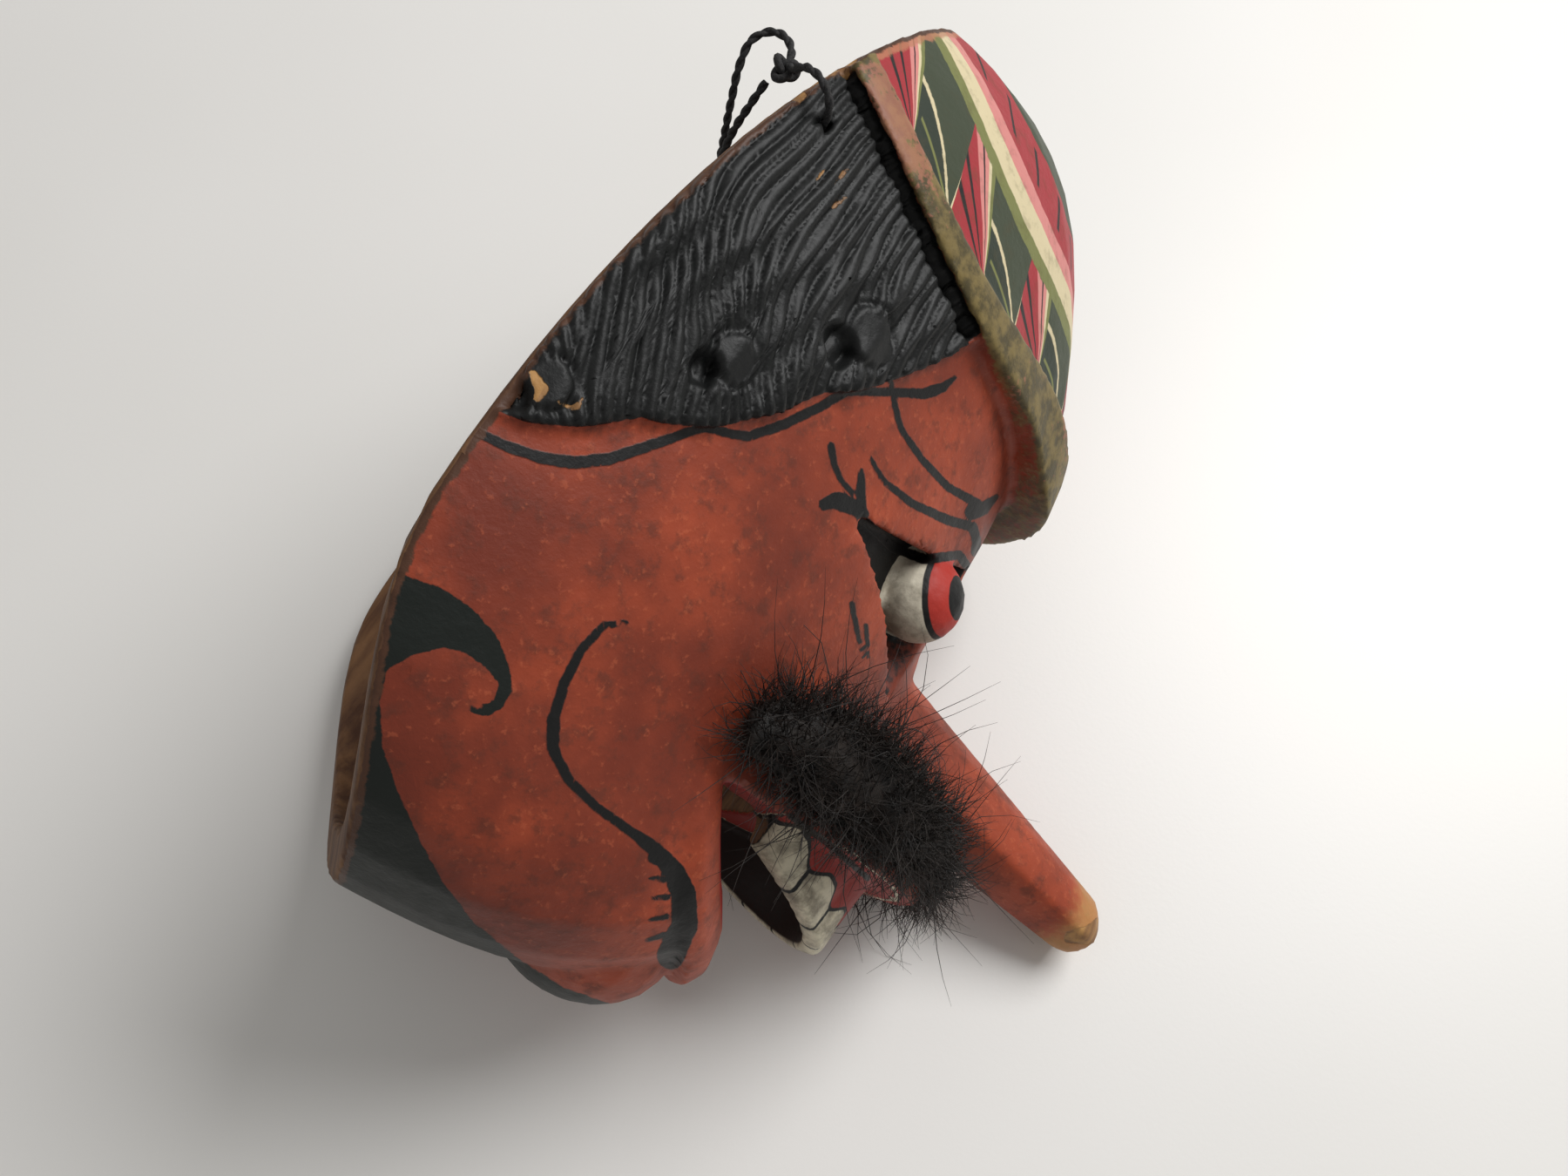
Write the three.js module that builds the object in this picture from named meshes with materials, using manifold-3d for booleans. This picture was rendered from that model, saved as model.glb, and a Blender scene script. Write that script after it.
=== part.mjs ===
// A carved and painted wooden theatre mask with a long peg nose, a gaping mouth and a fur moustache.
// It is built upright in its own frame, x forwards, y up and z to its right, and then laid on its left side.
// Millimetres throughout.
import * as THREE from "three";
import { mergeVertices } from "three/addons/utils/BufferGeometryUtils.js";
import Module from "manifold-3d";

const wasm = await Module();
wasm.setup();

// Head form: an egg-shaped outline with a domed front, hollowed from behind
const CHIN_TO_AXIS = 99;
const AXIS_TO_CROWN = 105;
const HALF_WIDTH = 66;
const OUTLINE_POWER = 2.2;
const JAW_OUTLINE_POWER = 3.2;
const FACE_DEPTH = 99;
const CHEEK_POWER = 1.65;
const TEMPLE_POWER = 1.8;
const CROWN_POWER = 2.7;
const CHIN_POWER = 3.0;
const WALL_SIDE = 8;
const WALL_FRONT = 14;

// Rim: cut to a curve that fits round a wearer's face, straight at the crown where it bears on a wall
const RIM_WIDEST_Y = 54;
const RIM_BOW_UP = 0.0017;
const RIM_BOW_DOWN = 0.0125;
const RIM_CHIN_LIMIT = 45;
const CROWN_FLAT_Y = 190;

// Cap and headband: the band dips over the brow and climbs towards the rim
const BAND_FRONT_X = 76;
const BAND_FRONT_Y = 132.5;
const BAND_FRONT_DIP = 3.5;
const BAND_SWEEP = 0.0059;
const BAND_WIDTH = 6.5;
const BAND_FRONT_EXTRA = 6;
const BAND_RISE = 4;
const BAND_FRONT_RISE = 2;
const CAP_RISE = 2.2;
const CAP_FRONT_LIFT = 5;
const CAP_FRONT_SPREAD = 32;
const CAP_LIFT_FADE = 30;

// Hair: combed locks between the band, the rim and a scalloped hairline across the temple
const HAIRLINE_Y = 69;
const HAIRLINE_SLOPE = 0.35;
const HAIRLINE_CURVE = 0.0108;
const SCALLOP_WIDTH = 23;
const SCALLOP_DROP = 2.5;
const HAIR_RISE = 2.4;
const LOCK_PITCH = 8;
const LOCK_DEPTH = 1.6;

// Eyes: a ball in a three-cornered socket under a heavy lid
const EYE_CENTRE = new THREE.Vector3(86, 96.5, 22);
const EYE_RADII = new THREE.Vector3(9, 9, 8.2);
const SOCKET_DEPTH = 8;
const SOCKET_OUTER = new THREE.Vector2(47, 93);
const SOCKET_INNER = new THREE.Vector2(11, 111.5);
const SOCKET_LOWER = new THREE.Vector2(17, 77);

// Nose: a straight peg with a rounded bridge and an undercut below
const NOSE_ROOT = new THREE.Vector3(78, 74, 0);
const NOSE_TIP = new THREE.Vector3(162, 59.5, 0);
const NOSE_ROOT_SIZE = { halfWidth: 15, above: 20, below: 10 };
const NOSE_TIP_SIZE = { halfWidth: 8, above: 9, below: 4 };

// Mouth: an upper jaw that juts out over a wedge-shaped gape, with a lower lip set well back
const JAW_CENTRE = new THREE.Vector3(64, 54, 0);
const JAW_RADII = new THREE.Vector3(58, 22, 38);
const JAW_DROOP = THREE.MathUtils.degToRad(6);
const MOUTH_CORNER = new THREE.Vector2(60, 44.5);
const UPPER_LIP = new THREE.Vector2(124, 46.5);
const LIP_SEAT = new THREE.Vector2(65.5, 29);
const LIP_FOOT = new THREE.Vector2(73, 18);
const LIP_HALF_THICKNESS = 4.6;
const LIP_CORNER_DROP = 4;
const LIP_FRONT_DROP = 9;
const CHIN_CENTRE = new THREE.Vector3(64, 15, 0);
const CHIN_RADII = new THREE.Vector3(18, 15, 24);

// Teeth: a horseshoe of eight under the upper jaw, each one slightly bowed
const TEETH = 8;
const TEETH_BACK_X = 76;
const TEETH_REACH = 31;
const TEETH_HALF_SPAN = 26;
const TEETH_THICKNESS = 3.4;
const TEETH_SIDE_DROP = 5;
const TEETH_FRONT_DROP = 17;

// Cord holes: one bored through each temple, just inside the rim
const HOLE = new THREE.Vector2(19, 139.5);
const HOLE_RADIUS = 1.7;

// Moustache: a strip of fur hide bent round under the nose and glued over both cheeks
const FUR_GAP = 0.4;
const FUR_LINE = [
  new THREE.Vector3(61, 52, 45.5),
  new THREE.Vector3(68, 55, 44.5),
  new THREE.Vector3(78, 56, 40.5),
  new THREE.Vector3(91, 56, 34.5),
  new THREE.Vector3(102.5, 55, 27.5),
  new THREE.Vector3(112.5, 53.5, 17),
];
const FUR_FRONT = new THREE.Vector3(119, 52.5, 0);
const FUR_HALF_HEIGHT = 12;
const FUR_HALF_THICKNESS = 5.5;
const FUR_FRONT_PINCH = 0.6;
const FUR_PINCH_SPREAD = 5.5;

// Hanging cord: out of the right hole, over the rim to a knot, round a small loop, then down across the
// open back into the left hole; its tail leaves the knot and hangs inside the rim
const CORD_DIAMETER = 1.5;
const CORD_ROUTE = [
  new THREE.Vector3(19, 139.5, 60.5),
  new THREE.Vector3(18.9, 139.6, 64.2),
  new THREE.Vector3(17.3, 140.6, 67.2),
  new THREE.Vector3(14.5, 142.1, 67.9),
  new THREE.Vector3(11.8, 143.5, 66),
  new THREE.Vector3(10.2, 144.2, 62.4),
  new THREE.Vector3(9.4, 145.7, 61),
  new THREE.Vector3(8.6, 148.3, 60.6),
  new THREE.Vector3(6.6, 150.1, 59.9),
  new THREE.Vector3(4.1, 150.2, 58.3),
  new THREE.Vector3(2.4, 148.1, 56.4),
  new THREE.Vector3(3, 145, 53.4),
  new THREE.Vector3(5, 142, 48.4),
  new THREE.Vector3(7.8, 139.3, 40.6),
  new THREE.Vector3(11.6, 136.6, 29.5),
  new THREE.Vector3(16.2, 135.6, 16),
  new THREE.Vector3(21, 135.2, 2),
  new THREE.Vector3(26, 135.2, -12),
  new THREE.Vector3(30.6, 135.8, -25),
  new THREE.Vector3(33.6, 136.8, -36),
  new THREE.Vector3(33, 138.2, -43.4),
  new THREE.Vector3(28.8, 139.2, -47.4),
  new THREE.Vector3(23.8, 139.5, -48.8),
  new THREE.Vector3(20.4, 139.5, -50.8),
  new THREE.Vector3(19.1, 139.5, -54.4),
  new THREE.Vector3(19, 139.5, -58),
];
const TAIL_ROUTE = [
  new THREE.Vector3(8, 142.6, 57.6),
  new THREE.Vector3(7.9, 140.2, 54.6),
  new THREE.Vector3(8, 137.4, 49),
  new THREE.Vector3(9, 135.2, 42),
  new THREE.Vector3(10.8, 133.6, 34),
  new THREE.Vector3(13.6, 132.4, 25),
  new THREE.Vector3(16.8, 131.6, 16),
];

// Lying down: the direction in the mask's own frame that faces the table when it rests on its left side
const TO_TABLE = new THREE.Vector3(0.381, -0.063, -0.923).normalize();
const TABLE_DOWN = new THREE.Vector3(0, 0, -1);

const step = (from, to, t) => THREE.MathUtils.smoothstep(t, from, to);
const bell = (t, width) => Math.exp(-((t / width) ** 2));
const degrees = THREE.MathUtils.degToRad;

// Closed solids and boolean work
function solidOf(geometry) {
  const bare = geometry.clone();
  bare.deleteAttribute("normal");
  bare.deleteAttribute("uv");
  const merged = mergeVertices(bare, 1e-4);
  return new wasm.Manifold(
    new wasm.Mesh({
      numProp: 3,
      vertProperties: new Float32Array(merged.attributes.position.array),
      triVerts: new Uint32Array(merged.index.array),
    }),
  );
}

function geometryOf(solid) {
  const mesh = solid.getMesh();
  const geometry = new THREE.BufferGeometry();
  geometry.setAttribute("position", new THREE.BufferAttribute(mesh.vertProperties, 3));
  geometry.setIndex(new THREE.BufferAttribute(mesh.triVerts, 1));
  geometry.computeVertexNormals();
  return geometry;
}

// A skin over rings of points, closed by a point at each end
function loft(startPoint, rings, endPoint) {
  const count = rings[0].length;
  const points = [startPoint, ...rings.flat(), endPoint];
  const last = points.length - 1;
  const at = (ring, k) => 1 + ring * count + (k % count);
  const index = [];
  for (let k = 0; k < count; k++) {
    index.push(0, at(0, k + 1), at(0, k));
    index.push(last, at(rings.length - 1, k), at(rings.length - 1, k + 1));
    for (let ring = 0; ring + 1 < rings.length; ring++) {
      index.push(at(ring, k), at(ring, k + 1), at(ring + 1, k + 1));
      index.push(at(ring, k), at(ring + 1, k + 1), at(ring + 1, k));
    }
  }
  const geometry = new THREE.BufferGeometry().setFromPoints(points);
  geometry.setIndex(index);
  return geometry;
}

function ellipsoid(centre, radii, tilt, across, down) {
  const ball = new THREE.SphereGeometry(1, across, down);
  ball.scale(radii.x, radii.y, radii.z);
  ball.rotateZ(tilt);
  ball.translate(centre.x, centre.y, centre.z);
  return ball;
}

// A side-view outline carried straight through the mask from left to right
function throughCut(points) {
  const halfSpan = 90;
  const shape = new THREE.Shape(points);
  const body = new THREE.ExtrudeGeometry(shape, { depth: 2 * halfSpan, bevelEnabled: false });
  return body.translate(0, 0, -halfSpan);
}

// How far forward the rim lies at a height
function rimForward(y) {
  if (y < RIM_WIDEST_Y) {
    const sweep = RIM_BOW_DOWN * (RIM_WIDEST_Y - y) ** 2;
    return sweep / (1 + sweep / RIM_CHIN_LIMIT);
  }
  const onBow = Math.min(y, CROWN_FLAT_Y) - RIM_WIDEST_Y;
  return RIM_BOW_UP * onBow * (onBow + 2 * Math.max(0, y - CROWN_FLAT_Y));
}

// How full the dome is along a direction: nearly flat over the cheeks, boxy at the crown and chin
function fullness(elevation) {
  const temple = (TEMPLE_POWER - CHEEK_POWER) * step(18, 40, elevation);
  const crown = (CROWN_POWER - TEMPLE_POWER) * step(50, 85, elevation);
  const chin = (CHIN_POWER - CHEEK_POWER) * step(48, 80, -elevation);
  return CHEEK_POWER + temple + crown + chin;
}

// The plain dome: theta runs round the outline from the right side upwards, phi from the nose to the rim
function dome(theta, phi, inset = 0, insetFront = 0) {
  const side = Math.cos(theta);
  const up = Math.sin(theta);
  const halfHeight = up > 0 ? AXIS_TO_CROWN : CHIN_TO_AXIS;
  const square = up > 0 ? OUTLINE_POWER : JAW_OUTLINE_POWER;
  const across = (Math.abs(side) / HALF_WIDTH) ** square;
  const along = (Math.abs(up) / halfHeight) ** square;
  const reach = (across + along) ** (-1 / square) - inset;
  const power = fullness(THREE.MathUtils.radToDeg(Math.asin(up)));
  const ahead = Math.max(0, Math.cos(phi));
  const fall = (ahead ** power + Math.sin(phi) ** power) ** (-1 / power);
  const rim = rimForward(CHIN_TO_AXIS + reach * up);
  const radial = reach * fall * Math.sin(phi);
  const forward = rim + (FACE_DEPTH - insetFront - rim) * fall * ahead;
  return new THREE.Vector3(forward, CHIN_TO_AXIS + radial * up, radial * side);
}

// The dome pushed out along its own normal and then forwards
function raisedDome(theta, phi, rise, lift) {
  const p = dome(theta, phi);
  const nudge = 0.01;
  const alongTheta = dome(theta + nudge, phi).sub(dome(theta - nudge, phi));
  const alongPhi = dome(theta, phi + nudge).sub(dome(theta, phi - nudge));
  const normal = alongTheta.cross(alongPhi).normalize();
  const raised = p.clone().addScaledVector(normal, rise(p));
  raised.x += lift(p);
  return raised;
}

// Headband edge in side view, measured square to its lower edge
function bandEdge(x, height) {
  const back = Math.max(0, BAND_FRONT_X - x);
  const slope = 2 * BAND_SWEEP * back;
  const widened = height * (1 + (BAND_FRONT_EXTRA / BAND_WIDTH) * step(45, 100, x));
  const dip = BAND_FRONT_DIP * step(84, 104, x);
  return BAND_FRONT_Y + BAND_SWEEP * back * back - dip + widened * Math.hypot(1, slope);
}

function hairline(x) {
  const lobe = Math.abs(Math.sin((Math.PI * (x + 4)) / SCALLOP_WIDTH));
  return HAIRLINE_Y + HAIRLINE_SLOPE * x + HAIRLINE_CURVE * x * x - SCALLOP_DROP * lobe;
}

function hairRise(p) {
  const combed = p.x - rimForward(p.y) + 2.5 * Math.sin((p.y - 0.4 * p.x) / 11);
  const lock = Math.cos((2 * Math.PI * combed) / LOCK_PITCH);
  return HAIR_RISE + (LOCK_DEPTH / 2) * (lock - 1);
}

function bandRise(p) {
  return BAND_RISE + BAND_FRONT_RISE * step(60, 95, p.x);
}

function capLift(p) {
  const aboveBand = p.y - bandEdge(p.x, BAND_WIDTH);
  const fade = 1 - step(0, CAP_LIFT_FADE, aboveBand);
  return CAP_FRONT_LIFT * bell(p.z, CAP_FRONT_SPREAD) * fade;
}

// Directions round the outline: even, or closer together over the hair on each temple
function outlineAngles(coarse, fine) {
  const right = [];
  let angle = -90 + coarse;
  while (angle < 90 - coarse / 2) {
    right.push(degrees(angle));
    angle += angle > -6 && angle < 62 ? fine : coarse;
  }
  const left = right.map((a) => Math.PI - a).reverse();
  return [-Math.PI / 2, ...right, Math.PI / 2, ...left];
}

// A shell of the head between a carved outside and a plain inside
function headShell(angles, outerRings, innerRings, rise, lift, wallSide, wallFront, edge = 90) {
  const outside = (theta, phi) => raisedDome(theta, phi, rise, lift);
  const inside = (theta, phi) => dome(theta, phi, wallSide, wallFront);
  const ring = (place, phi) => angles.map((theta) => place(theta, phi));
  const rings = [];
  for (let k = 1; k <= outerRings; k++) {
    const t = k / outerRings;
    rings.push(ring(outside, degrees(edge) * (1.3 * t - 0.3 * t * t)));
  }
  for (let k = innerRings; k >= 1; k--) {
    rings.push(ring(inside, degrees(edge) * (k / innerRings)));
  }
  const front = dome(0, 0);
  front.x += lift(front);
  return loft(front, rings, inside(0, 0));
}

// Cap, headband and hair: raised layers of the head, each cut to its outline in side view
function raisedLayers() {
  const flat = () => 0;
  const even = outlineAngles(7.5, 7.5);
  const combed = outlineAngles(12, 4);
  const cap = headShell(even, 14, 2, () => CAP_RISE, capLift, 3, 3, 89.5);
  const band = headShell(even, 14, 2, bandRise, capLift, 3, 3, 89);
  const hair = headShell(combed, 26, 2, hairRise, flat, 3, 3, 89.3);
  const xs = [];
  for (let x = -6; x < 136; x += 5.2) {
    xs.push(x);
  }
  const curve = (edge) => xs.map((x) => new THREE.Vector2(x, edge(x)));
  const lower = curve((x) => bandEdge(x, 0));
  const upper = curve((x) => bandEdge(x, BAND_WIDTH));
  const hairTop = curve((x) => bandEdge(x, 1));
  const capBottom = curve((x) => bandEdge(x, BAND_WIDTH - 1));
  const fringe = [];
  for (let x = -6; x < 70; x += 2.4) {
    fringe.push(new THREE.Vector2(x, Math.min(hairline(x), bandEdge(x, 0) - 0.5)));
  }
  const overCap = [new THREE.Vector2(150, 260), new THREE.Vector2(-10, 360)];
  const hairBack = hairTop.filter((p) => p.x < 70).reverse();
  const cuts = [
    [cap, throughCut([...capBottom, ...overCap])],
    [band, throughCut([...lower, ...upper.slice().reverse()])],
    [hair, throughCut([...fringe, ...hairBack])],
  ];
  return cuts.map(([layer, cut]) => solidOf(layer).intersect(solidOf(cut)));
}

// Eye sockets: three-cornered recesses under the lids, sunk to an even depth
function eyeSockets() {
  const flat = () => 0;
  const skinDeep = headShell(outlineAngles(6, 6), 14, 10, () => 12, flat, SOCKET_DEPTH - 1.5, SOCKET_DEPTH);
  const ahead = 140;
  const recesses = [1, -1].map((side) => {
    const corners = [SOCKET_OUTER, SOCKET_INNER, SOCKET_LOWER].map((c) => new THREE.Vector2(-side * c.x, c.y));
    const body = new THREE.ExtrudeGeometry(new THREE.Shape(corners), { depth: ahead, bevelEnabled: false });
    return solidOf(body.rotateY(degrees(90)));
  });
  return solidOf(skinDeep).intersect(recesses[0].add(recesses[1]));
}

// One cross-section of the nose: a rounded bridge, then sides cut in to a narrow underside
function noseSection(t, grow) {
  const size = (key) => THREE.MathUtils.lerp(NOSE_ROOT_SIZE[key], NOSE_TIP_SIZE[key], t) + grow;
  const axis = NOSE_TIP.clone().sub(NOSE_ROOT).normalize();
  const up = new THREE.Vector3(-axis.y, axis.x, 0);
  const centre = NOSE_ROOT.clone().lerp(NOSE_TIP, t);
  const steps = 16;
  const points = [];
  for (let k = 0; k < steps; k++) {
    const angle = (-k / steps) * 2 * Math.PI;
    const rise = Math.sin(angle);
    const reach = Math.cos(angle) * (rise > 0 ? 1 : 1 + 0.45 * rise);
    const height = rise * size(rise > 0 ? "above" : "below");
    const across = new THREE.Vector3(0, 0, reach * size("halfWidth"));
    points.push(centre.clone().addScaledVector(up, height).add(across));
  }
  return points;
}

function nose(grow = 0) {
  const rings = [0, 0.25, 0.5, 0.75, 0.96].map((t) => noseSection(t, grow));
  const rounded = noseSection(1, grow).map((p) => p.lerp(NOSE_TIP, 0.25));
  return loft(NOSE_ROOT, [...rings, rounded], NOSE_TIP);
}

// The gape: a wedge from the mouth's corners, cut through to the hollow
function gape() {
  const farAhead = 60;
  const palate = UPPER_LIP.clone().sub(MOUTH_CORNER).normalize();
  const top = UPPER_LIP.clone().addScaledVector(palate, farAhead);
  const low = new THREE.Vector2(top.x, LIP_FOOT.y);
  return throughCut([MOUTH_CORNER, LIP_SEAT, LIP_FOOT, low, top]);
}

// The lower lip: a roll that thickens from the corners to a hanging lobe in front
function lowerLip() {
  const half = [
    new THREE.Vector3(60, 44, 40),
    new THREE.Vector3(65, 35, 37),
    new THREE.Vector3(72, 27, 29),
    new THREE.Vector3(80, 22, 15),
  ];
  const mirrored = half.map((p) => new THREE.Vector3(p.x, p.y, -p.z)).reverse();
  const bow = new THREE.CatmullRomCurve3([...half, new THREE.Vector3(83, 20.5, 0), ...mirrored]);
  const rings = [];
  const count = 20;
  for (let k = 0; k <= count; k++) {
    const place = bow.getPoint(k / count);
    const along = bow.getTangent(k / count);
    const hang = new THREE.Vector3(0.3, -1, 0);
    hang.addScaledVector(along, -hang.dot(along)).normalize();
    const out = new THREE.Vector3().crossVectors(hang, along).normalize();
    const swell = Math.sin((Math.PI * k) / count);
    const drop = THREE.MathUtils.lerp(LIP_CORNER_DROP, LIP_FRONT_DROP, swell);
    const thick = LIP_HALF_THICKNESS * (0.6 + 0.4 * swell);
    const ring = [];
    for (let j = 0; j < 8; j++) {
      const angle = (j / 8) * 2 * Math.PI;
      const across = thick * Math.cos(angle);
      ring.push(place.clone().addScaledVector(out, across).addScaledVector(hang, drop * Math.sin(angle)));
    }
    rings.push(ring);
  }
  return loft(bow.getPoint(0), rings, bow.getPoint(1));
}

// Gum and teeth: a horseshoe plate hung from the palate, bowed out at each tooth
function teeth() {
  const perTooth = 4;
  const count = TEETH * perTooth;
  const fall = (UPPER_LIP.y - MOUTH_CORNER.y) / (UPPER_LIP.x - MOUTH_CORNER.x);
  const rings = [];
  for (let k = 0; k <= count; k++) {
    const angle = degrees(86) * (1 - (2 * k) / count);
    const ahead = Math.cos(angle);
    const x = TEETH_BACK_X + TEETH_REACH * ahead;
    const z = TEETH_HALF_SPAN * Math.sin(angle);
    const palate = MOUTH_CORNER.y + fall * (x - MOUTH_CORNER.x);
    const edge = palate - THREE.MathUtils.lerp(TEETH_SIDE_DROP, TEETH_FRONT_DROP, ahead);
    const bow = Math.abs(Math.sin((Math.PI * k) / perTooth));
    const out = new THREE.Vector3(ahead / TEETH_REACH, 0, Math.sin(angle) / TEETH_HALF_SPAN).normalize();
    const at = (offset, y) => new THREE.Vector3(x, y, z).addScaledVector(out, offset);
    const middle = (palate + edge) / 2;
    rings.push([
      at(4, palate + 3),
      at(1.2 + bow, middle),
      at(bow, edge),
      at(-TEETH_THICKNESS, edge),
      at(-TEETH_THICKNESS - 1, middle),
      at(-TEETH_THICKNESS - 4, palate + 3),
    ]);
  }
  const middleOf = (ring) => ring.reduce((sum, p) => sum.add(p), new THREE.Vector3()).divideScalar(ring.length);
  return loft(middleOf(rings[0]), rings, middleOf(rings[count]));
}

// The hollow behind the face, grown a little into the wall and carried back past the rim
function hollow() {
  const overlap = 1;
  const angles = outlineAngles(9, 9);
  const inside = (theta, phi) => dome(theta, phi, WALL_SIDE - overlap, WALL_FRONT - overlap);
  const rings = [];
  for (let k = 1; k <= 8; k++) {
    rings.push(angles.map((theta) => inside(theta, degrees(90 * (k / 8)))));
  }
  const behind = rings[7].map((p) => new THREE.Vector3(-60, p.y, p.z));
  return loft(inside(0, 0), [...rings, behind], new THREE.Vector3(-60, CHIN_TO_AXIS, 0));
}

function maskBody() {
  const flat = () => 0;
  const head = headShell(outlineAngles(6, 6), 17, 5, flat, flat, WALL_SIDE, WALL_FRONT);
  const leftEye = EYE_CENTRE.clone().multiply(new THREE.Vector3(1, 1, -1));
  const bore = new THREE.CylinderGeometry(HOLE_RADIUS, HOLE_RADIUS, 180, 12);
  bore.rotateX(degrees(90)).translate(HOLE.x, HOLE.y, 0);
  const features = solidOf(ellipsoid(JAW_CENTRE, JAW_RADII, -JAW_DROOP, 22, 12))
    .add(solidOf(nose()))
    .add(solidOf(ellipsoid(CHIN_CENTRE, CHIN_RADII, 0, 16, 12)));
  const eyes = solidOf(ellipsoid(EYE_CENTRE, EYE_RADII, 0, 14, 9))
    .add(solidOf(ellipsoid(leftEye, EYE_RADII, 0, 14, 9)));
  return raisedLayers()
    .reduce((sum, layer) => sum.add(layer), solidOf(head))
    .add(features.subtract(solidOf(hollow())))
    .subtract(eyeSockets())
    .subtract(solidOf(gape()))
    .add(solidOf(lowerLip()))
    .add(solidOf(teeth()))
    .add(eyes.subtract(solidOf(hollow())))
    .subtract(solidOf(bore));
}

// The moustache: a soft roll along the lip, trimmed back from the wood behind it
function moustache() {
  const left = FUR_LINE.map((p) => new THREE.Vector3(p.x, p.y, -p.z)).reverse();
  const line = new THREE.CatmullRomCurve3([...FUR_LINE, FUR_FRONT, ...left]);
  const count = 24;
  const rings = [];
  for (let k = 0; k <= count; k++) {
    const place = line.getPoint(k / count);
    const along = line.getTangent(k / count);
    const out = new THREE.Vector3(-along.z, 0, along.x).normalize();
    const up = new THREE.Vector3().crossVectors(along, out).normalize();
    const full = Math.sin((Math.PI * (k + 1)) / (count + 2)) ** 0.5;
    const middle = 1 - FUR_FRONT_PINCH * bell(k - count / 2, FUR_PINCH_SPREAD);
    const ring = [];
    for (let j = 0; j < 8; j++) {
      const angle = (j / 8) * 2 * Math.PI;
      const across = FUR_HALF_THICKNESS * full * Math.cos(angle);
      const high = FUR_HALF_HEIGHT * full * middle * Math.sin(angle);
      ring.push(place.clone().addScaledVector(out, across).addScaledVector(up, high));
    }
    rings.push(ring);
  }
  const grown = JAW_RADII.clone().addScalar(FUR_GAP);
  const flat = () => 0;
  const cheeks = headShell(outlineAngles(6, 6), 17, 4, () => FUR_GAP, flat, WALL_SIDE, WALL_FRONT);
  return solidOf(loft(line.getPoint(0), rings, line.getPoint(1)))
    .subtract(solidOf(ellipsoid(JAW_CENTRE, grown, -JAW_DROOP, 22, 12)))
    .subtract(solidOf(nose(FUR_GAP)))
    .subtract(solidOf(cheeks))
    .subtract(solidOf(tableBlock(tableReach - FUR_GAP)));
}

// A plain tube along a route
function cordAlong(route) {
  const line = new THREE.CatmullRomCurve3(route);
  const section = new THREE.Shape();
  section.absarc(0, 0, CORD_DIAMETER / 2, 0, 2 * Math.PI);
  const steps = Math.round(line.getLength() / (2.6 * CORD_DIAMETER));
  return new THREE.ExtrudeGeometry(section, { steps, curveSegments: 4, extrudePath: line });
}

// How far a shape reaches towards the table
function reachTowardsTable(geometry) {
  const corner = new THREE.Vector3();
  let reach = -Infinity;
  for (let k = 0; k < geometry.attributes.position.count; k++) {
    corner.fromBufferAttribute(geometry.attributes.position, k);
    reach = Math.max(reach, corner.dot(TO_TABLE));
  }
  return reach;
}

// The table itself, as a block that starts at a distance: the fur is pressed flat where it lies on it
function tableBlock(distance) {
  const size = 400;
  const block = new THREE.BoxGeometry(size, size, size).translate(0, 0, -size / 2 - distance);
  return block.applyQuaternion(new THREE.Quaternion().setFromUnitVectors(TABLE_DOWN, TO_TABLE));
}

const wood = new THREE.MeshStandardMaterial({ color: "#a6462c", roughness: 0.5, metalness: 0 });
const fur = new THREE.MeshStandardMaterial({ color: "#1d1714", roughness: 0.9, metalness: 0 });
const string = new THREE.MeshStandardMaterial({ color: "#16161a", roughness: 0.7, metalness: 0 });

const bodyGeometry = geometryOf(maskBody());
const tableReach = reachTowardsTable(bodyGeometry);
const pieces = [
  ["mask_body", bodyGeometry, wood],
  ["moustache", geometryOf(moustache()), fur],
  ["hanging_cord", cordAlong(CORD_ROUTE), string],
  ["cord_tail", cordAlong(TAIL_ROUTE), string],
];

// Laid on its left side, with its crown along +y, over the middle of its footprint
const upright = new THREE.Group();
for (const [name, geometry, material] of pieces) {
  const mesh = new THREE.Mesh(geometry, material);
  mesh.name = name;
  upright.add(mesh);
}
const turn = new THREE.Quaternion().setFromUnitVectors(TO_TABLE, TABLE_DOWN);
const crownward = new THREE.Vector3(0, 1, 0).applyQuaternion(turn);
const spin = new THREE.Quaternion().setFromAxisAngle(TABLE_DOWN, -Math.atan2(crownward.x, crownward.y));
upright.quaternion.multiplyQuaternions(spin, turn);
upright.updateMatrixWorld();
const solidPart = new THREE.Box3();
for (const name of ["mask_body", "moustache"]) {
  solidPart.expandByObject(upright.getObjectByName(name), true);
}
const middle = solidPart.getCenter(new THREE.Vector3());
upright.position.set(-middle.x, -middle.y, -solidPart.min.z);

const lying = new THREE.Group();
lying.add(upright);
export default lying;
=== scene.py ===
import math
import random

import bmesh
import bpy
import numpy as np
from mathutils import Matrix, Quaternion, Vector
from mathutils.bvhtree import BVHTree


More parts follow.
